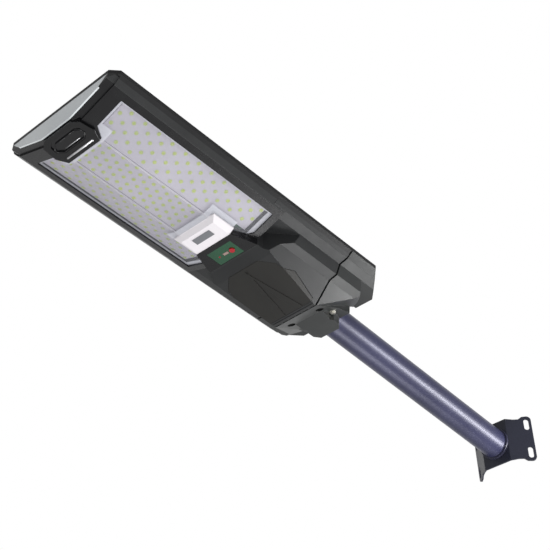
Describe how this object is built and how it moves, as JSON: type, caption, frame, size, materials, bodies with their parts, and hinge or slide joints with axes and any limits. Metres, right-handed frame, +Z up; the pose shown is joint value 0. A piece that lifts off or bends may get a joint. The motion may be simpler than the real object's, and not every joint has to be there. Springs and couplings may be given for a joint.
{
  "type": "solar street lamp",
  "caption": "Flat lamp head with a solar panel on top and a faceted light window below, clamped to a sloping steel arm that is welded to a bent pole bracket.",
  "frame": {"origin": "middle of the pole bracket's flat back face, which faces the pole", "axes": "+X points at the pole, so the lamp reaches out along -X; +Z up; +Y to the lamp's side, with the lamp symmetric about Y = 0 but for its controls"},
  "size_m": [1.0213, 0.23, 0.2253],
  "materials": {
    "bracket_paint": "dark blue-black powder coat, satin",
    "arm_paint": "slate-blue powder coat, satin sheen",
    "weld_bead": "painted weld bead",
    "upper_shell": "fine-grained black plastic",
    "lower_shell": "satin black plastic",
    "cover_shell": "satin black plastic",
    "clamp_shell": "satin charcoal plastic",
    "saddle_plastic": "satin black plastic",
    "bright_steel": "zinc-plated steel, fine machining marks",
    "black_steel": "blackened steel",
    "front_trim": "light grey plastic, satin",
    "panel_face": "clear laminate, low gloss",
    "silicon": "dark blue silicon with fine grain",
    "ribbon_metal": "tinned copper ribbon",
    "white_sheet": "white laminate",
    "lens_clear": "clear polycarbonate with a white printed bridge",
    "black_rubber": "soft black sealing rubber",
    "tray_plastic": "pale grey plastic",
    "led_white": "white solder mask with small yellow-green chips",
    "sensor_black": "smooth black plastic",
    "board_green": "green circuit board",
    "window_green": "deep green gloss window",
    "button_red": "red gloss plastic",
    "switch_grey": "grey plastic",
    "label_grey": "dark grey printed film",
    "cell_wrap": "blue shrink wrap",
    "parts_dark": "dark electronic parts",
    "lead_red": "red insulation",
    "lead_black": "black insulation",
    "lead_white": "white insulation"
  },
  "bodies": {
    "arm": {"wall_bracket": "bracket_paint", "arm_tube": "arm_paint", "arm_weld": "weld_bead"},
    "head": {"upper_housing": "upper_shell", "lower_housing": "lower_shell", "battery_cover": "cover_shell", "rear_clamp_shell": "clamp_shell", "clamp_saddle": "saddle_plastic", "clamp_bolts": "bright_steel", "clamp_washers": "bright_steel", "clamp_nuts": "bright_steel", "front_plate": "front_trim", "panel_glass": "panel_face", "solar_cells": "silicon", "cell_ribbons": "ribbon_metal", "panel_backsheet": "white_sheet", "junction_box": "upper_shell", "housing_screws": "bright_steel", "dark_screws": "black_steel", "lens_cover": "lens_clear", "lens_gasket": "black_rubber", "led_tray": "tray_plastic", "led_board_near": "led_white", "led_board_middle": "led_white", "led_board_far": "led_white", "sensor_housing": "sensor_black", "sensor_window": "sensor_black", "sensor_board": "board_green", "control_window": "window_green", "control_board": "board_green", "switch_body": "switch_grey", "status_lamp": "button_red", "remote_receiver": "switch_grey", "label_plate": "label_grey", "battery_cells": "cell_wrap", "battery_cradle": "parts_dark", "battery_straps": "bright_steel", "controller_board": "board_green", "controller_parts": "parts_dark", "panel_lead": "lead_red", "battery_lead": "lead_black", "light_lead": "lead_white", "sensor_lead": "lead_black", "housing_gasket": "black_rubber", "cover_gasket": "black_rubber"},
    "button": {"power_button": "button_red"}
  },
  "joints": [
    {"name": "head_swivel", "type": "hinge", "parent": "arm", "child": "head", "pos_m": [-0.43479, 0, 0.07667], "axis": [-0.9848, 0, 0.1736], "continuous": true},
    {"name": "power_button", "type": "slide", "parent": "head", "child": "button", "axis": [0.1305, 0, 0.9914], "range_m": [0, 0.0012], "stiffness_N_per_m": 900, "springref_m": -0.001}
  ]
}
